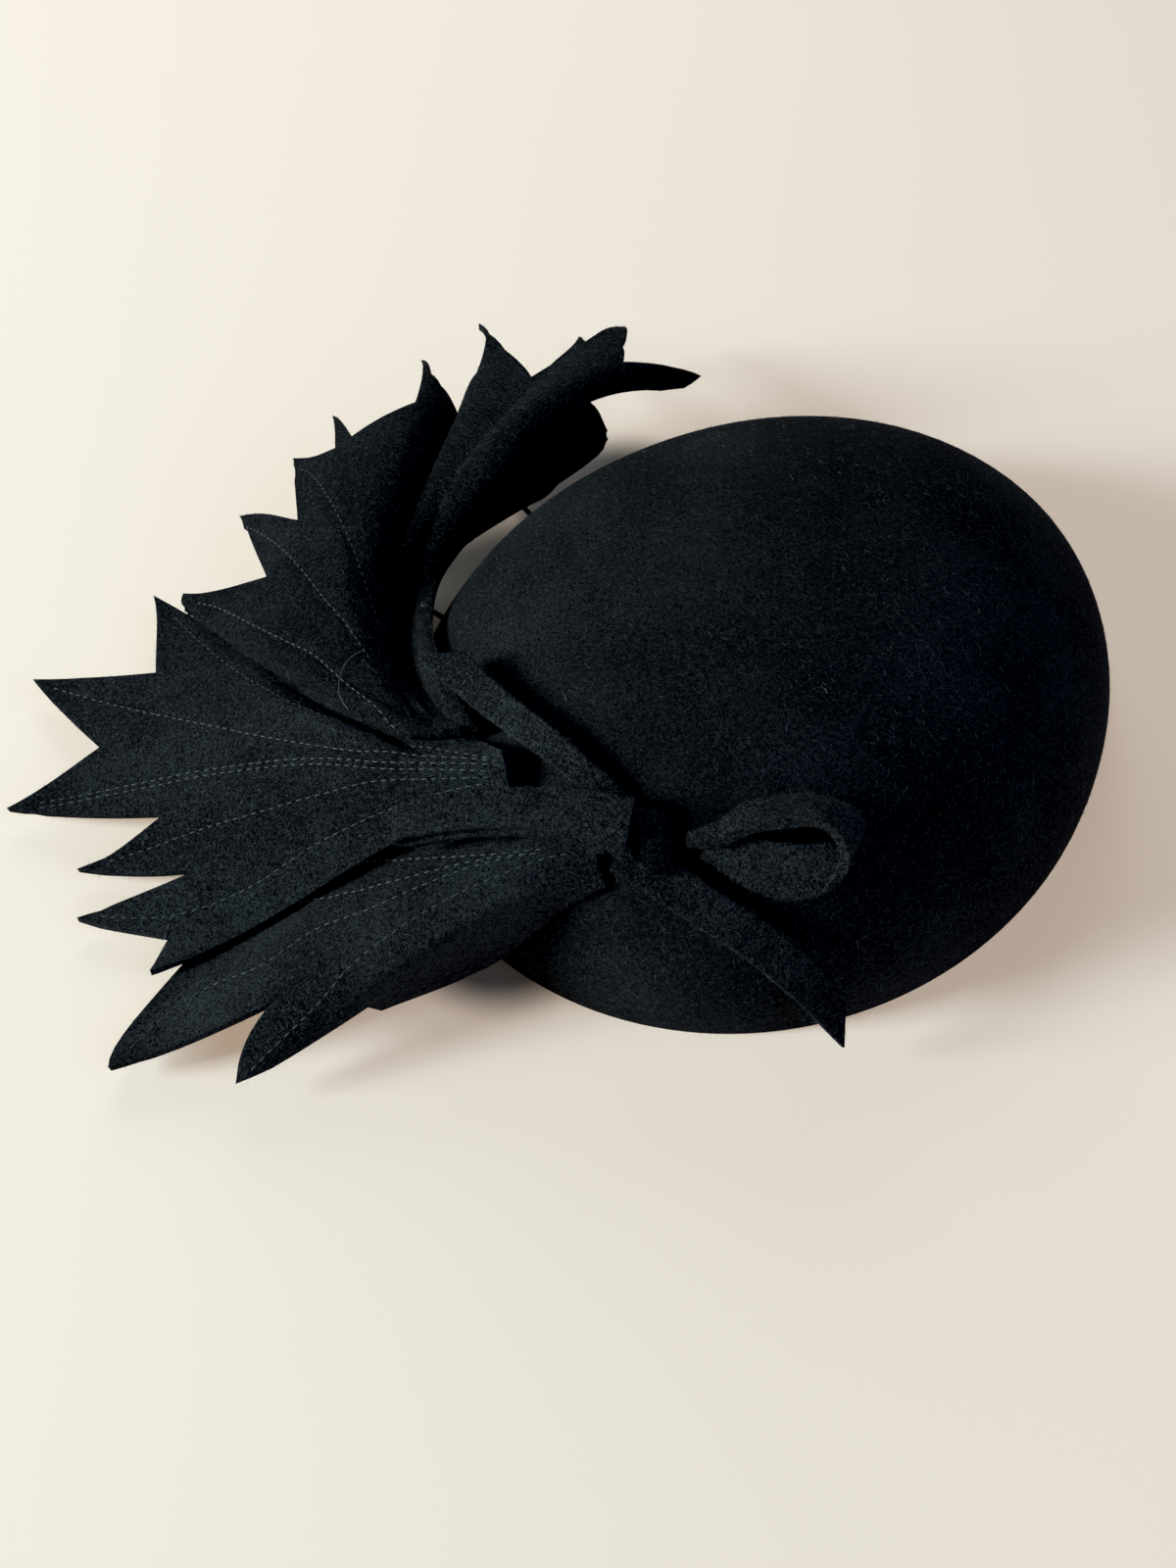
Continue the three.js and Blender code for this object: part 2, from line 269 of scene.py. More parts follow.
# steep runs from 0 at the top to a right angle at the rim
def crownPoint(steep, angle):
    reach = math.sin(steep) ** (2 / crown["swell"])
    along = crown["halfLength"] * reach * math.cos(angle)
    side = crown["halfWidth"] * reach * math.sin(angle) * (1 + crown["egg"] * math.cos(angle))
    c, s = math.cos(crown["turn"]), math.sin(crown["turn"])
    return toFrame(along * c - side * s, along * s + side * c, crown["height"] * math.cos(steep))


def uneven(co, size, depth):
    return noise.noise(co / (size * mm)) * depth * mm


def makeCrown():
    bm = bmesh.new()
    bmesh.ops.create_uvsphere(bm, u_segments=crown["segments"], v_segments=crown["rings"], radius=1)
    lowerHalf = [v for v in bm.verts if v.co.z < -1e-5]  # the middle ring stays as the rim
    bmesh.ops.delete(bm, geom=lowerHalf, context="VERTS")
    for v in bm.verts:
        steep = math.acos(max(-1, min(1, v.co.z)))
        v.co = crownPoint(min(steep, math.pi / 2), math.atan2(v.co.y, v.co.x))
    bm.normal_update()
    for v in bm.verts:
        rise = smoothStep(0, crown["evenRim"] * mm, v.co.z)
        v.co += v.normal * uneven(v.co, crown["unevenSize"], crown["unevenness"]) * rise
    felt = feltMaterial(crown["name"], crown["paintedLightShade"], feltLook["crownCoarse"], crown["grain"])
    piece = newPiece(bm, crown["name"], felt, crown["node"])
    thicken(piece, -1, crown["rimRound"])
    return piece


crownPiece = makeCrown()
crownSurface = surfaceOf(crownPiece)
print("crown made")


# Leaves
# flat and area: the felt before it is shaped, in metres
# start and finish: where the first and the last rib begin, on the crown
# hollow: how far the sides of the teeth are drawn in
# ribs: end x, y, z, height a third and two thirds out, sideways shift a third and two thirds out
# edge: place across the ribs, share of the rib that is felt there
# folds: width, then places across the ribs with their share and rise
# veins: rows of stitching beside each other, how far they sink in, then places with their share
# each leaf's felt is painted lighter or darker for how much light falls on it (painted light and shade)

upperLeaf = {
    "name": "felt_leaf_upper",
    "node": "leaf_upper",
    "paintedLightShade": 0.78,
    "grain": 0.78,
    "flat": (0.135, 0.215),
    "area": 0.0165,
    "start": (-90, -40, 40.5),
    "finish": (-75, -39, 44),
    "hollow": 0.1,
    "ribs": [
        (-158, 23, 12.5, 28, 17.5, 0, 0),
        (-164, 33, 10, 32.5, 22, 1, 1),
        (-152, 63, 11, 33.5, 26, 4, 3),
        (-137, 80, 18, 33.5, 29, 7, 5),
        (-129, 106, 12, 32.5, 31, 9, 4),
        (-103, 133, 12, 28.5, 31, 14, 3),
        (-88, 143, 15, 18, 20, 15, 5),
        (-86, 152, 12, 27, 29.5, 18, 0.5),
        (-52, 137, 18, 25, 33.5, 29, 9),
        (-36, 142, 18, 23, 33, 35, 20),
        (-14, 112, 24, 24, 38, 42, 35),
        (-42.5, 92, 19, 23, 27, 30.5, 23),
        (-45.5, 87.3, 8, 25, 11, 30, 31),
        (-51, 88, 9, 29, 16, 23, 24.5),
    ],
    "edge": [
        (0, 1), (1, 1), (1.8, 0.69), (2, 1), (2.79, 0.75), (3, 1), (3.95, 0.79), (4, 1),
        (4.19, 0.78), (4.51, 0.78), (4.9, 0.77), (4.99, 0.985), (5.01, 0.985), (5.08, 0.86),
        (5.3, 0.81), (6.25, 0.73), (6.9, 0.77), (6.96, 0.88), (6.99, 0.985), (7.01, 0.985),
        (7.05, 0.91), (7.27, 0.84), (7.52, 0.8), (7.73, 0.77), (7.87, 0.81), (7.95, 0.88), (8.02, 1.01),
        (8.08, 0.95), (8.36, 0.88), (8.6, 0.94), (8.94, 1.01), (9.44, 0.89), (9.86, 0.86),
        (9.92, 0.89), (10.01, 0.95), (10.04, 1),
        (10.25, 0.99), (10.33, 0.96), (10.35, 0.88), (10.38, 0.83), (10.67, 0.906), (10.92, 0.978),
        (11.16, 1.012), (11.38, 1.008), (11.49, 0.994), (11.61, 0.962), (11.74, 0.91), (12.1, 0.89),
        (12.6, 0.88), (12.75, 0.81), (13, 0.74),
    ],
    "folds": [
        {"width": 2.4,
         "line": [(1.17, 0.03, 0.8), (1.1, 0.1, 2), (0.72, 0.2, 2.3), (0.75, 0.3, 1.9),
                  (0.7, 0.43, 0.9), (0.7, 0.56, 0)]},
        {"width": 2.0,
         "line": [(12.6, 0.12, 0.6), (12.6, 0.3, 1.4), (12.6, 0.5, 1.5), (12.6, 0.7, 0.8),
                  (12.5, 0.85, 0)]},
    ],
    "veins": [
        {"rows": 1, "pull": 0,
         "line": [(0.81, 0.05), (1.23, 0.14), (1.4, 0.27), (1.46, 0.38), (1.32, 0.5),
                  (1.2, 0.65), (1.11, 0.83), (0.98, 0.94)]},
        {"rows": 1, "pull": 0.12,
         "line": [(3.52, 0.23), (3.14, 0.36), (2.69, 0.49), (2.21, 0.75), (1.97, 0.93)]},
        {"rows": 1, "pull": 0.15,
         "line": [(4.89, 0.27), (4.45, 0.37), (4.2, 0.46), (3.87, 0.59), (3.27, 0.85),
                  (3.02, 0.94)]},
    ],
}

middleLeaf = {
    "name": "felt_leaf_middle",
    "node": "leaf_middle",
    "paintedLightShade": 1.3,
    "grain": 1.3,
    "flat": (0.125, 0.145),
    "area": 0.0082,
    "start": (-66, -57, 41),
    "finish": (-67.5, -47.8, 47),
    "hollow": 0.05,
    "ribs": [
        (-153, -84, 6, 26, 10, -5, -4),
        (-174, -69, 5, 27, 11.5, -3, -2),
        (-177, -55, 5, 29, 13, -2, -1),
        (-199, -37, 5, 30, 14, 0, 0),
        (-202, 5, 6, 30.5, 14.5, 2, 2),
        (-172, 32, 8, 28.6, 14.5, 2, 2),
        (-148, 20, 8, 23.6, 6, -1.5, -3),
    ],
    "folds": [
        {"width": 1.8,
         "line": [(5.03, 0.67, 0), (4.86, 0.5, -1.6), (4.68, 0.35, -3.2), (4.45, 0.24, -3.4),
                  (4.09, 0.16, -1)]},
        {"width": 2.2,
         "line": [(4.72, 0.62, 0), (4.56, 0.5, 1.2), (4.38, 0.35, 2), (4.15, 0.24, 2),
                  (3.8, 0.16, 0.6)]},
    ],
    "edge": [
        (0, 1), (0.36, 0.88), (1, 1), (1.54, 0.72), (2, 1), (2.87, 0.68), (3, 1), (3.6, 0.8), (4, 1),
        (4.42, 0.79), (5.02, 1.02), (5.16, 0.89), (5.4, 0.85), (6, 0.85),
    ],
    "veins": [
        {"rows": 1, "pull": 0.13,
         "line": [(4.41, 0.03), (4.31, 0.13), (4.46, 0.36), (4.69, 0.57), (4.86, 0.79),
                  (4.97, 0.94)]},
        {"rows": 1, "pull": 0,
         "line": [(4.16, 0.03), (3.85, 0.19), (3.99, 0.48), (4.03, 0.66), (4, 0.95)]},
        {"rows": 2, "pull": 0,
         "line": [(3.57, 0.03), (3.5, 0.19), (3.6, 0.33), (3.44, 0.54), (3.28, 0.69),
                  (3.05, 0.93)]},
        {"rows": 1, "pull": 0,
         "line": [(2.76, 0.03), (3.08, 0.22), (2.9, 0.34), (2.7, 0.47), (2.5, 0.65),
                  (2.1, 0.93)]},
        {"rows": 1, "pull": 0,
         "line": [(2.06, 0.05), (1.48, 0.29), (1.1, 0.43), (0.7, 0.6), (0.68, 0.81), (1, 0.96)]},
        {"rows": 1, "pull": 0,
         "line": [(0.74, 0.8), (0.32, 0.9), (0.1, 0.97)]},
    ],
}

lowerLeaf = {
    "name": "felt_leaf_lower",
    "node": "leaf_lower",
    "paintedLightShade": 1.08,
    "grain": 1.08,
    "flat": (0.070, 0.125),
    "area": 0.0052,
    "start": (-47, -70, 39.5),
    "finish": (-44.5, -76.5, 34.5),
    "hollow": 0,
    "ribs": [
        (-140, -68, 2.4, 28.5, 8, -14, -14),
        (-158, -108, 6, 30, 15, -6, -5),
        (-128, -112, 8, 32.5, 21, -5, -4),
        (-97, -93, 6, 33.5, 24.5, -2, -1),
        (-73, -80.5, 4, 28, 15.5, 0, 0),
    ],
    "edge": [
        (0, 1), (1, 1), (1.34, 0.69), (2, 1), (2.64, 0.86), (2.95, 0.98), (3.3, 1.01), (3.75, 1.05),
        (4, 1.01),
    ],
    "folds": [],
    "veins": [
        {"rows": 1, "pull": 0,
         "line": [(0.56, 0.1), (0.58, 0.19), (0.48, 0.3), (0.31, 0.45), (0.14, 0.59)]},
        {"rows": 1, "pull": 0,
         "line": [(0.65, 0.13), (0.61, 0.29), (0.53, 0.46), (0.34, 0.66), (0.17, 0.79)]},
        {"rows": 1, "pull": 0,
         "line": [(0.65, 0.11), (0.72, 0.26), (0.78, 0.43), (0.72, 0.57), (0.78, 0.69),
                  (0.69, 0.86), (0.94, 0.96)]},
        {"rows": 1, "pull": 0,
         "line": [(0.67, 0.05), (1.06, 0.19), (1.35, 0.38), (1.58, 0.54), (1.85, 0.71),
                  (1.98, 0.94)]},
    ],
}

leafMesh = {
    "rows": 64,
    "stepsAcross": 11,  # of the outline, for each rib
    "stepsOut": 36,  # of the outline, for a whole rib's length
    "fewestSteps": 3,
    "toothDrop": 0.15,  # steeper parts of the outline are sides of teeth
    "slopeAcross": 0.05,  # the slope of the leaf is measured over these steps
    "slopeOut": 0.01,
    "veinSteps": 90,
    "foldSteps": 30,
    "edgeRound": 0.7,
    "grooveDepth": 0.4,
    "grooveWidth": 1.8,
    "unevenness": 0.5,
    "unevenSize": 22,
}


def ribPoint(leaf, at, share):
    x, y, z, thirdZ, outerZ, thirdSide, outerSide = (between(leaf["ribs"], i, at) for i in range(7))
    start, finish = Vector(leaf["start"]), Vector(leaf["finish"])
    base = start.lerp(finish, at / (len(leaf["ribs"]) - 1))
    run = math.hypot(x - base.x, y - base.y)
    shift = throughFour((0, thirdSide, outerSide, 0), share) / run
    return toFrame(base.x + (x - base.x) * share - (y - base.y) * shift,
                   base.y + (y - base.y) * share + (x - base.x) * shift,
                   throughFour((base.z, thirdZ, outerZ, z), share))


def ribNormal(leaf, at, share):
    last = len(leaf["ribs"]) - 1
    step, stepOut = leafMesh["slopeAcross"], leafMesh["slopeOut"]
    low, high = max(0, at - step), min(last, at + step)
    across = ribPoint(leaf, high, share) - ribPoint(leaf, low, share)
    out = ribPoint(leaf, at, share + stepOut) - ribPoint(leaf, at, share - stepOut)
    normal = across.cross(out).normalized()
    return normal if normal.z > 0 else -normal


# the toothed outline in fine steps, its sides drawn in between tips and notches
def outlineOf(leaf):
    places = [leaf["edge"][0]]
    for (at, share), (nextAt, nextShare) in zip(leaf["edge"], leaf["edge"][1:]):
        drop = nextShare - share
        hollow = leaf["hollow"] if abs(drop) > leafMesh["toothDrop"] else 0
        steps = max((nextAt - at) * leafMesh["stepsAcross"], abs(drop) * leafMesh["stepsOut"])
        steps = max(leafMesh["fewestSteps"], math.ceil(steps))
        for step in range(1, steps + 1):
            t = step / steps
            inward = hollow * abs(drop) * 4 * t * (1 - t)
            places.append((at + t * (nextAt - at), share + t * drop - inward))
    return places


# points along a vein, close together, with their place on the leaf
def veinPoints(leaf, vein):
    line, steps = vein["line"], leafMesh["veinSteps"]
    count = steps * (len(line) - 1)
    places = [(between(line, 0, i / steps), between(line, 1, i / steps)) for i in range(count + 1)]
    return [(at, share, ribPoint(leaf, at, share)) for at, share in places]


# rolled and sunken places of a leaf, as a list of moves along the normals
def foldMoves(leaf, fold, verts):
    line, steps = fold["line"], leafMesh["foldSteps"]
    count = steps * (len(line) - 1)
    rows = [[between(line, i, step / steps) for i in range(3)] for step in range(count + 1)]
    tree = KDTree(len(rows))
    for i, (at, share, rise) in enumerate(rows):
        tree.insert(ribPoint(leaf, at, share), i)
    tree.balance()
    moves = []
    for v in verts:
        co, nearest, distance = tree.find(v.co)
        moves.append(rows[nearest][2] * mm * math.exp(-(distance / mm / fold["width"]) ** 2))
    return moves


def makeLeaf(leaf):
    places = outlineOf(leaf)
    rows = leafMesh["rows"]
    bm = bmesh.new()
    bmesh.ops.create_grid(bm, x_segments=len(places) - 1, y_segments=rows, size=1)
    for v in bm.verts:
        at, reach = places[round((v.co.x + 1) / 2 * (len(places) - 1))]
        v.co = ribPoint(leaf, at, reach * round((v.co.y + 1) / 2 * rows) / rows)
    if sum(f.normal.z for f in bm.faces) < 0:
        bmesh.ops.reverse_faces(bm, faces=bm.faces)
    bm.normal_update()
    veins = [point for vein in leaf["veins"] for at, share, point in veinPoints(leaf, vein)]
    tree = KDTree(len(veins))
    for i, point in enumerate(veins):
        tree.insert(point, i)
    tree.balance()
    moves = []
    for v in bm.verts:
        away = tree.find(v.co)[2] / mm
        groove = leafMesh["grooveDepth"] * mm * math.exp(-(away / leafMesh["grooveWidth"]) ** 2)
        moves.append(uneven(v.co, leafMesh["unevenSize"], leafMesh["unevenness"]) - groove)
    for fold in leaf["folds"]:
        moves = [a + b for a, b in zip(moves, foldMoves(leaf, fold, bm.verts))]
    for v, move in zip(bm.verts, moves):
        v.co += v.normal * move
    piece = newPiece(bm, leaf["name"], trimFelt(leaf), leaf["node"])
    thicken(piece, 0, leafMesh["edgeRound"])
    return piece


stitch = {
    "pitch": 2.6,
    "length": 1.9,
    "width": 0.36,
    "height": 0.32,
    "lift": 0.06,
    "rowGap": 1.6,
    "search": 6,  # how far off the ribs the felt is looked for
    "segments": 6,
    "rings": 5,
}


# one row of stitches lying on the leaf
def sewVein(bm, leaf, surface, vein, sideways):
    travelled = 0
    points = veinPoints(leaf, vein)
    due = stitch["pitch"] / 2
    size = Matrix.Diagonal([stitch[key] / 2 * mm for key in ("length", "width", "height")]).to_4x4()
    for (at, share, point), following in zip(points, points[1:]):
        nextPoint = following[2]
        travelled += (nextPoint - point).length / mm
        if travelled < due:
            continue
        due += stitch["pitch"]
        normal = ribNormal(leaf, at, share)
        along = (nextPoint - point).normalized()
        side = normal.cross(along).normalized()
        origin = point + side * sideways * mm
        search = stitch["search"] * mm
        hit = surface.ray_cast(origin + normal * search, -normal, 2 * search)[0]
        if hit is None:
            continue
        basis = Matrix((along, side, normal)).transposed().to_4x4()
        place = Matrix.Translation(hit + normal * (stitch["lift"] - vein["pull"]) * mm)
        bmesh.ops.create_uvsphere(bm, u_segments=stitch["segments"], v_segments=stitch["rings"],
                                  radius=1, matrix=place @ basis @ size)


def makeStitches(leaf, piece):
    surface = surfaceOf(piece)
    bm = bmesh.new()
    for vein in leaf["veins"]:
        for row in range(vein["rows"]):
            sewVein(bm, leaf, surface, vein, (row - (vein["rows"] - 1) / 2) * stitch["rowGap"])
    return newPiece(bm, leaf["name"].replace("felt", "stitches"), stitchThread)


leafPieces = []
for leaf in (upperLeaf, middleLeaf, lowerLeaf):
    leafPiece = makeLeaf(leaf)
    stitches = makeStitches(leaf, leafPiece)
    leafPieces.append(leafPiece)
    print(leaf["name"], "made")


# Bow
# flat: width and length of the strip laid flat, in metres
# rows: middle line x, y, z, the way the width runs in plan and its rise in degrees, the width
# slant: how far one corner of the cut end is drawn out
# each strip's felt is painted lighter or darker for how much light falls on it (painted light and
# shade)

leftLoop = {
    "name": "felt_bow_left_loop",
    "node": "bow_left_loop",
    "paintedLightShade": 1.15,
    "grain": 1.15,
    "slant": 0,
    "flat": (0.0105, 0.112),
    "rows": [
        (-39.7, -70.7, 48.8, 78, 20, 14),
        (-46, -67.3, 48.8, 83, 20, 11.6),
        (-53, -65, 48, 85, 20, 10),
        (-66, -62.5, 45.5, 85, 18, 9.2),
        (-80, -61.5, 42, 88, 18, 9),
        (-90, -61, 38, 90, 18, 8.6),
        (-92.5, -61, 35.6, 90, 18, 8.6),
        (-89, -61, 34.6, 90, 18, 8.6),
        (-80, -61.5, 38.6, 88, 18, 9),
        (-66, -62.5, 42, 85, 18, 9.2),
        (-53, -65, 44.6, 85, 20, 9.8),
        (-45, -68, 45, 90, 20, 11),
    ],
}

rightLoop = {
    "name": "felt_bow_right_loop",
    "node": "bow_right_loop",
    "paintedLightShade": 1.25,
    "grain": 1.25,
    "slant": 0,
    "flat": (0.0105, 0.092),
    "rows": [
        (-27, -71.5, 46.4, 90, 15, 3),
        (-20.5, -71.2, 48.6, 82, -5, 6),
        (-13.3, -68.6, 51.2, 80, -20, 10.2),
        (-0.5, -67.5, 52.6, 88, -28, 12),
        (5.9, -70, 51.2, 80, -15, 12),
        (8.6, -73.7, 48.5, 65, 8, 12),
        (4.8, -77.6, 45.6, 68, 25, 12),
        (-1, -78.4, 44.8, 80, 31, 12),
        (-7.1, -78.2, 44.6, 86, 34, 12),
        (-13.8, -76.2, 44.8, 80, 34, 10.5),
        (-18.8, -74.3, 44.4, 75, 30, 6.5),
        (-23.4, -72.4, 43.8, 80, 20, 4),
    ],
}

upperTail = {
    "name": "felt_bow_tail_upper",
    "node": "bow_tail_upper",
    "paintedLightShade": 1.6,
    "grain": 1.6,
    "slant": 6.5,
    "flat": (0.010, 0.061),
    "rows": [
        (-40, -63.5, 46, 33, 8, 6),
        (-47.2, -57.6, 48.7, 33, 18, 6),
        (-57.9, -48, 50.2, 33, 26, 7.2),
        (-71.6, -34.3, 48.7, 30, 26, 8.3),
        (-82, -21.8, 47.1, 24, 22, 9.2),
    ],
}

lowerTail = {
    "name": "felt_bow_tail_lower",
    "node": "bow_tail_lower",
    "paintedLightShade": 1.25,
    "grain": 1.25,
    "slant": 7,
    "flat": (0.010, 0.068),
    "rows": [
        (-40.5, -72.5, 42.1, 38, 14, 9.6),
        (-24.1, -82.9, 38.4, 40, 17, 9.6),
        (-12.5, -89, 34.1, 45, 20, 9.6),
        (-0.8, -95, 25.6, 52, 25, 9.6),
        (7.4, -98.6, 16.1, 60, 29, 9.6),
    ],
}

stripMesh = {
    "columns": 8,
    "steps": 9,  # from one row to the next
    "endStep": 0.2,  # share of the last span that gives the way of the cut end
    "edgeRound": 0.6,
    "unevenness": 0.3,
    "unevenSize": 9,
}


def stripPoint(strip, at, across):
    x, y, z, way, rise, width = (between(strip["rows"], i, at) for i in range(6))
    way, rise = math.radians(way), math.radians(rise)
    side = Vector((math.cos(way) * math.cos(rise), math.sin(way) * math.cos(rise), math.sin(rise)))
    point = Vector((x, y, z)) + side * width * (0.5 - across)
    return toFrame(*point)


def makeStrip(strip):
    columns = stripMesh["columns"]
    last = len(strip["rows"]) - 1
    steps = last * stripMesh["steps"]
    bm = bmesh.new()
    bmesh.ops.create_grid(bm, x_segments=columns, y_segments=steps, size=1)
    for v in bm.verts:
        across = round((v.co.x + 1) / 2 * columns) / columns
        at = round((v.co.y + 1) / 2 * steps) / stripMesh["steps"]
        v.co = stripPoint(strip, at, across)
        if strip["slant"] and at > last - 1:
            before = stripPoint(strip, last - stripMesh["endStep"], across)
            way = (stripPoint(strip, last, across) - before).normalized()
            v.co += way * strip["slant"] * mm * across * (at - last + 1) ** 2
    bm.normal_update()
    for v in bm.verts:
        v.co += v.normal * uneven(v.co, stripMesh["unevenSize"], stripMesh["unevenness"])
    piece = newPiece(bm, strip["name"], trimFelt(strip), strip["node"])
    thicken(piece, 0, stripMesh["edgeRound"])
    return piece


bowPieces = [makeStrip(strip) for strip in (leftLoop, rightLoop, upperTail, lowerTail)]

# rows: place on the knot's middle line, half its width and depth
knot = {
    "name": "felt_bow_knot",
    "node": "bow_knot",
    # painted light and shade: the knot's felt is painted lighter for how light falls on it
    "paintedLightShade": 1.2,
    "grain": 1.7,
    "segments": 24,
    "rings": 24,
    "blunt": 0.4,  # lower is blunter at the ends
    "unevenness": 0.35,
    "unevenSize": 4,
    "lean": math.radians(10),
    "rows": [
        (-35.5, -63.5, 46.6, 3.5, 1.2),
        (-35.3, -65.5, 46.8, 4.6, 1.7),
        (-35, -70, 45.6, 5.0, 2.0),
        (-34.5, -75, 44.8, 4.6, 1.8),
        (-34.5, -78.5, 43.2, 3.0, 1.2),
    ],
}


def makeKnot():
    rows = knot["rows"]
    way = (Vector(rows[-1][:3]) - Vector(rows[0][:3])).normalized()
    side = Vector((math.cos(knot["lean"]), 0, -math.sin(knot["lean"])))
    side = (side - way * way.dot(side)).normalized()
    up = side.cross(way)
    bm = bmesh.new()
    bmesh.ops.create_uvsphere(bm, u_segments=knot["segments"], v_segments=knot["rings"], radius=1)
    for v in bm.verts:
        steep = math.acos(max(-1, min(1, v.co.z)))
        around = math.atan2(v.co.y, v.co.x)
        at = (1 - math.cos(steep)) / 2 * (len(rows) - 1)
        x, y, z, half, depth = (between(rows, i, at) for i in range(5))
        full = math.sin(steep) ** knot["blunt"]
        point = Vector((x, y, z)) + side * half * full * math.cos(around)
        point += up * depth * full * math.sin(around)
        v.co = toFrame(*point)
    bmesh.ops.recalc_face_normals(bm, faces=bm.faces)
    bm.normal_update()
    for v in bm.verts:
        v.co += v.normal * uneven(v.co, knot["unevenSize"], knot["unevenness"])
    return newPiece(bm, knot["name"], trimFelt(knot), knot["node"])


bowPieces.append(makeKnot())
print("bow made")


# Threads that hold the upper leaf to the crown across the gap, and a hair that lies on the leaf

tacks = {
    "name": "tack_threads",
    "radius": 0.8,
    "segments": 8,
    "buried": 1,  # how far the ends go into the felt
    "starts": [(-69.9, 66.1, 15.3), (-92.2, 12.8, 28.2)],
}

hair = {
    "name": "lint_hair",
    "radius": 0.06,
    "segments": 8,
    "steps": 4,
    "rows": [(-105.5, -8.8, 35.8), (-108.5, -12.6, 36.6), (-110, -17, 36.5), (-109.7, -23.2, 37.6),
             (-108.5, -26.2, 37.2), (-106.9, -28.3, 36.6)],
}


def addRod(bm, a, b, look):
    way = b - a
    radius = look["radius"] * mm
    turn = Vector((0, 0, 1)).rotation_difference(way).to_matrix().to_4x4()
    bmesh.ops.create_cone(bm, cap_ends=True, segments=look["segments"], radius1=radius, radius2=radius,
                          depth=way.length, matrix=Matrix.Translation((a + b) / 2) @ turn)


def makeTacks():
    bm = bmesh.new()
    for place in tacks["starts"]:
        start = toFrame(*place)
        end = crownSurface.find_nearest(start)[0]
        past = (end - start).normalized() * tacks["buried"] * mm
        addRod(bm, start - past, end + past, tacks)
        print("tack of", round((end - start).length / mm, 1), "mm")
    newPiece(bm, tacks["name"], tackThread)


def makeHair():
    bm = bmesh.new()
    rows, steps = hair["rows"], hair["steps"]
    points = []
    for i in range((len(rows) - 1) * steps + 1):
        points.append(toFrame(*(between(rows, k, i / steps) for k in range(3))))
    for a, b in zip(points, points[1:]):
        addRod(bm, a, b, hair)
    newPiece(bm, hair["name"], lintFibre)


makeTacks()
makeHair()
print("threads made")


# Fibres that stand off the felt

nap = {
    "crownCount": 16000,
    "perArea": 0.42e6,  # on a square metre of the leaves and the bow
    "radius": (0.025, 0.055),
    "length": (0.7, 2.4),
    "lift": (2, 32),  # degrees off the surface
    "crownSeed": 3,
    "trimSeed": 10,
}

lint = {
    "crownCount": 60,
    "radius": (0.04, 0.07),
    "length": (1.2, 3.4),
    "lift": (0, 6),
    "crownSeed": 4,
}

fibreMesh = {
    "sides": 3,
    "outside": 0.9,  # share of a fibre's length that is outside the felt
    "batch": 250,  # a small mesh grows faster than a large one
}


def triangleList(piece):
    bpy.context.view_layer.update()
    shape = piece.evaluated_get(bpy.context.evaluated_depsgraph_get()).to_mesh()
    shape.calc_loop_triangles()
    triangles = []
    for t in shape.loop_triangles:
        corners = [shape.vertices[i].co.copy() for i in t.vertices]
        first = min(range(3), key=lambda i: tuple(corners[i]))
        triangles.append(tuple(corners[first:] + corners[:first]))
    triangles.sort(key=lambda corners: [tuple(co) for co in corners])  # the same order in each run
    return triangles, [area_tri(*corners) for corners in triangles]


def addFibre(bm, rng, corners, look):
    a, b, c = corners
    normal = (b - a).cross(c - a).normalized()
    u, v = rng.random(), rng.random()
    if u + v > 1:
        u, v = 1 - u, 1 - v
    root = a + (b - a) * u + (c - a) * v
    flat = (b - a).normalized()
    flat = Matrix.Rotation(rng.uniform(0, 2 * math.pi), 3, normal) @ flat
    lift = math.radians(rng.uniform(*look["lift"]))
    way = (flat * math.cos(lift) + normal * math.sin(lift)).normalized()
    length = rng.uniform(*look["length"]) * mm
    turn = Vector((0, 0, 1)).rotation_difference(way).to_matrix().to_4x4()
    place = Matrix.Translation(root + way * length * (fibreMesh["outside"] - 0.5)) @ turn
    bmesh.ops.create_cone(bm, cap_ends=True, segments=fibreMesh["sides"], radius2=0, depth=length,
                          radius1=rng.uniform(*look["radius"]) * mm, matrix=place)


def makeFibres(name, piece, look, material, seed, count=None):
    rng = random.Random(seed)
    triangles, sizes = triangleList(piece)
    count = count or int(sum(sizes) * look["perArea"])
    chosen = rng.choices(triangles, weights=sizes, k=count)
    whole = bmesh.new()
    for first in range(0, count, fibreMesh["batch"]):
        bm = bmesh.new()
        for corners in chosen[first:first + fibreMesh["batch"]]:
            addFibre(bm, rng, corners, look)
        part = bpy.data.meshes.new("part")
        bm.to_mesh(part)
        bm.free()
        whole.from_mesh(part)
        bpy.data.meshes.remove(part)
    newPiece(whole, name, material, smooth=False)


makeFibres("nap_crown", crownPiece, nap, napFibre, nap["crownSeed"], nap["crownCount"])
makeFibres("lint_crown", crownPiece, lint, lintFibre, lint["crownSeed"], lint["crownCount"])
for i, piece in enumerate(leafPieces + bowPieces):
    makeFibres(piece.name.replace("felt", "nap"), piece, nap, napFibre, nap["trimSeed"] + i)
print("fibres made")


# Floor, light and camera

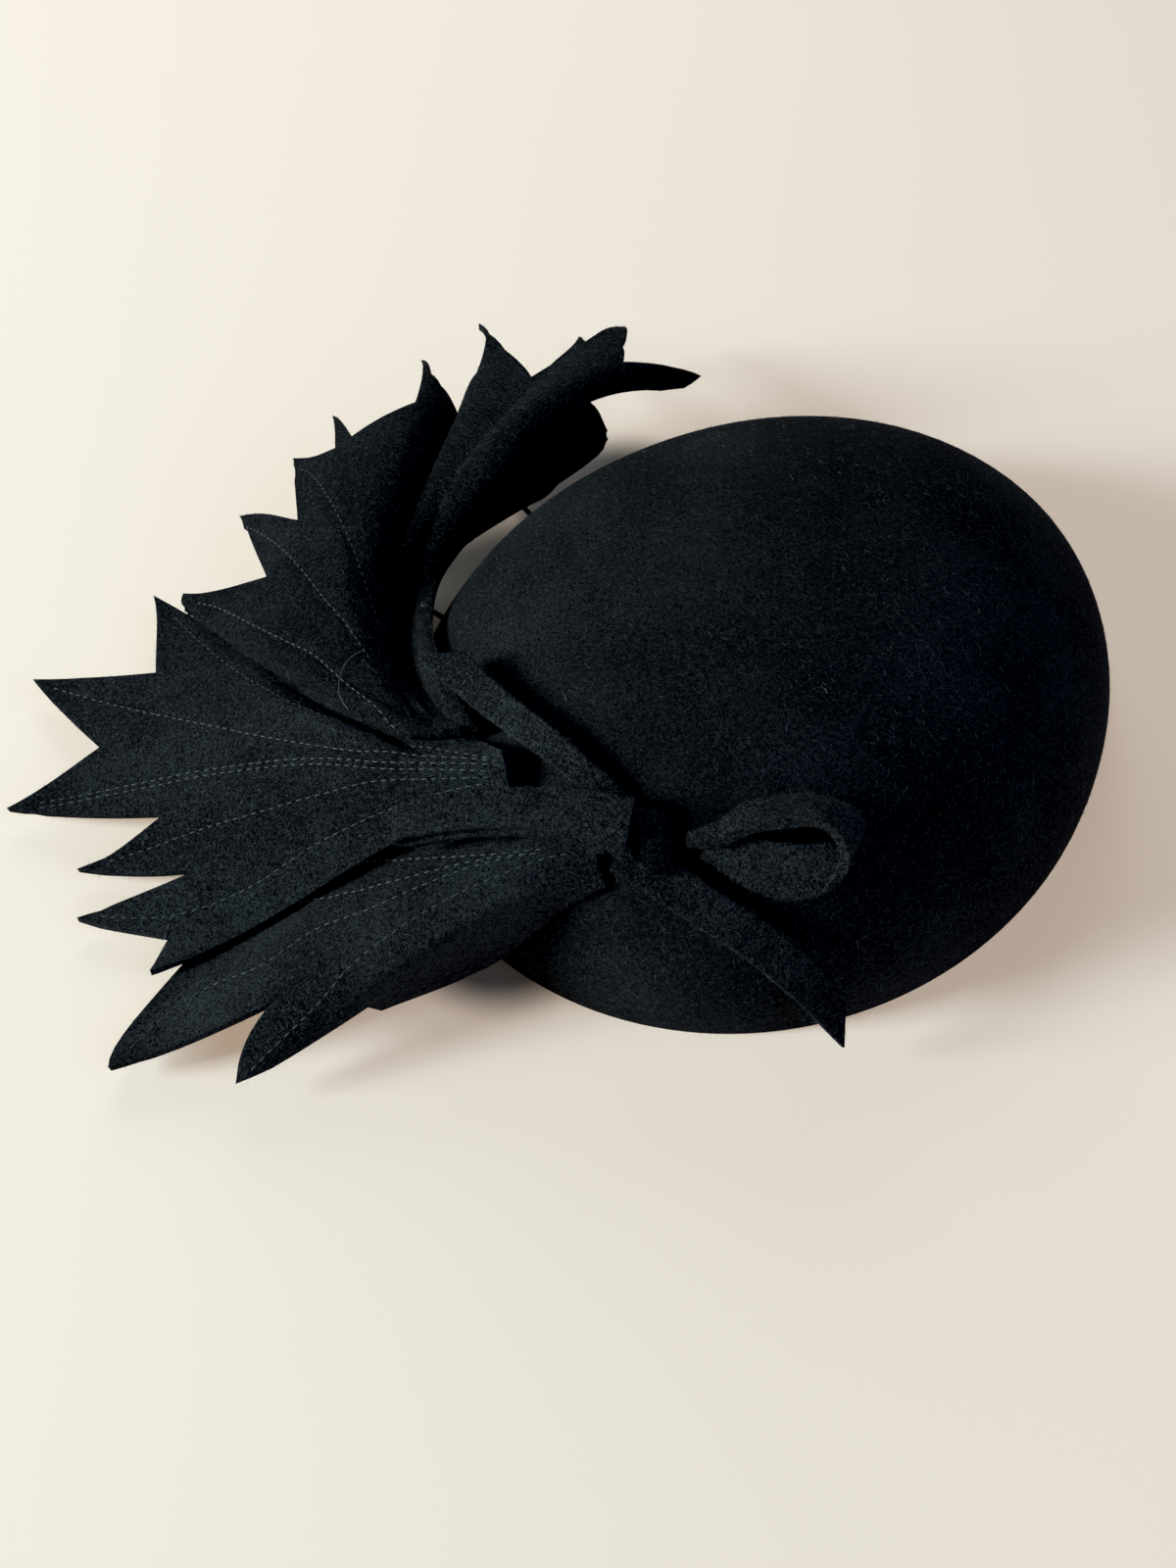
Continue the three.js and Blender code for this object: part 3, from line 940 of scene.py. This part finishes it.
stageLook = {
    "floorColor": (0.715, 0.685, 0.62, 1),
    "floorGlow": (0.40, 0.30, 0.21, 1),  # warm room light that fills the shadows on the floor
    "shadeGlow": (0.025, 0.019, 0.013, 1),  # what is left of it close under the hat
    "shadeColor": (0.16, 0.15, 0.14, 1),
    "shades": [(-62, 14, 82), (-38, 72, 46), (-70, -62, 35)],  # places close under the hat, their reach
    "shadeEnds": (0.04, 0.40),  # where the shade starts and is full
    "floorRoughness": 0.7,
    "floorSpecular": 0.2,
    "lamps": [  # metres
        {"name": "window", "way": (-0.932, -0.165, 0.322), "far": 2.0, "size": 0.5, "power": 65,
         "color": (0.80, 0.95, 1.0)},
        {"name": "far wall", "way": (-0.05, 0.88, 0.47), "far": 2.0, "size": 1.0, "power": 13,
         "color": (0.9, 0.95, 1.0)},
        {"name": "sky", "way": (0.72, -0.42, 0.55), "far": 2.0, "size": 1.2, "power": 10,
         "color": (0.45, 0.65, 1.0)},
    ],
    "lampShape": 1.3,  # the height of a lamp for its width
    "wallColor": (0.62, 0.56, 0.49, 1),
    "wallFar": 4.0,  # metres
    "wallSegments": 48,
    "wallRings": 24,
    "worldColor": (1.0, 0.93, 0.86, 1),
    "worldStrength": 0.02,
}


# a pale backdrop for views along the floor, which throws no light on the hat
def makeBackdrop():
    material, shader = newMaterial("backdrop")
    shader.inputs["Base Color"].default_value = (0, 0, 0, 1)
    shader.inputs["Specular IOR Level"].default_value = 0
    shader.inputs["Emission Color"].default_value = stageLook["wallColor"]
    shader.inputs["Emission Strength"].default_value = 1
    bm = bmesh.new()
    bmesh.ops.create_uvsphere(bm, u_segments=stageLook["wallSegments"],
                              v_segments=stageLook["wallRings"], radius=stageLook["wallFar"])
    backdrop = meshObject(bm, "backdrop", material)
    backdrop.visible_diffuse = False
    backdrop.visible_glossy = False
    backdrop.visible_shadow = False


# a pale floor, with painted shade close under the hat: darker there and without its glow
def makeFloor():
    material, shader = newMaterial("pale floor")
    nodes, links = material.node_tree.nodes, material.node_tree.links
    shader.inputs["Emission Strength"].default_value = 1
    coords = addNode(nodes, "ShaderNodeTexCoord")
    nearness = None
    for x, y, reach in stageLook["shades"]:
        mapping = addNode(nodes, "ShaderNodeMapping", Scale=[1 / (reach * mm)] * 3,
                          Location=-toFrame(x, y, 0) / (reach * mm))
        links.new(coords.outputs["Object"], mapping.inputs["Vector"])
        ball = addNode(nodes, "ShaderNodeTexGradient", gradient_type="SPHERICAL")
        links.new(mapping.outputs["Vector"], ball.inputs["Vector"])
        closest = addNode(nodes, "ShaderNodeMath", operation="MAXIMUM")
        closest.inputs[1].default_value = 0
        links.new(ball.outputs["Fac"], closest.inputs[0])
        if nearness:
            links.new(nearness.outputs["Value"], closest.inputs[1])
        nearness = closest
    for socket, far, near in (("Base Color", "floorColor", "shadeColor"),
                              ("Emission Color", "floorGlow", "shadeGlow")):
        ramp = addNode(nodes, "ShaderNodeValToRGB")
        ramp.color_ramp.interpolation = "EASE"
        for stop, place, key in zip(ramp.color_ramp.elements, stageLook["shadeEnds"], (far, near)):
            stop.position = place
            stop.color = stageLook[key]
        links.new(nearness.outputs["Value"], ramp.inputs["Fac"])
        links.new(ramp.outputs["Color"], shader.inputs[socket])
    shader.inputs["Roughness"].default_value = stageLook["floorRoughness"]
    shader.inputs["Specular IOR Level"].default_value = stageLook["floorSpecular"]
    bm = bmesh.new()
    bmesh.ops.create_grid(bm, x_segments=2, y_segments=2, size=stageLook["wallFar"])
    meshObject(bm, "floor", material)


def makeLight():
    for look in stageLook["lamps"]:
        data = bpy.data.lights.new(look["name"], "AREA")
        data.shape = "RECTANGLE"
        data.size = look["size"]
        data.size_y = look["size"] * stageLook["lampShape"]
        data.energy = look["power"]
        data.color = look["color"]
        lamp = bpy.data.objects.new(look["name"], data)
        way = Vector(look["way"]).normalized()
        lamp.location = way * look["far"]
        lamp.rotation_euler = way.to_track_quat("Z", "Y").to_euler()
        scene.collection.objects.link(lamp)
    world = bpy.data.worlds.new("room")
    world.use_nodes = True
    background = world.node_tree.nodes["Background"]
    background.inputs["Color"].default_value = stageLook["worldColor"]
    background.inputs["Strength"].default_value = stageLook["worldStrength"]
    scene.world = world


photoCamera = {
    "eye": (-48.6, -221.0, 290),  # mm from the middle of the crown
    "pitch": 56,  # degrees below the horizon
    "lens": 30,
    "sensor": 36,
    "clipStart": 0.01,  # metres
}


def makeCamera():
    data = bpy.data.cameras.new("camera")
    data.lens = photoCamera["lens"]
    data.sensor_width = photoCamera["sensor"]
    data.clip_start = photoCamera["clipStart"]
    camera = bpy.data.objects.new("camera", data)
    camera.location = toFrame(*photoCamera["eye"])
    camera.rotation_euler = (math.radians(90 - photoCamera["pitch"]), 0, 0)
    scene.collection.objects.link(camera)
    scene.camera = camera


makeFloor()
makeBackdrop()
makeLight()
makeCamera()
print("stage made")
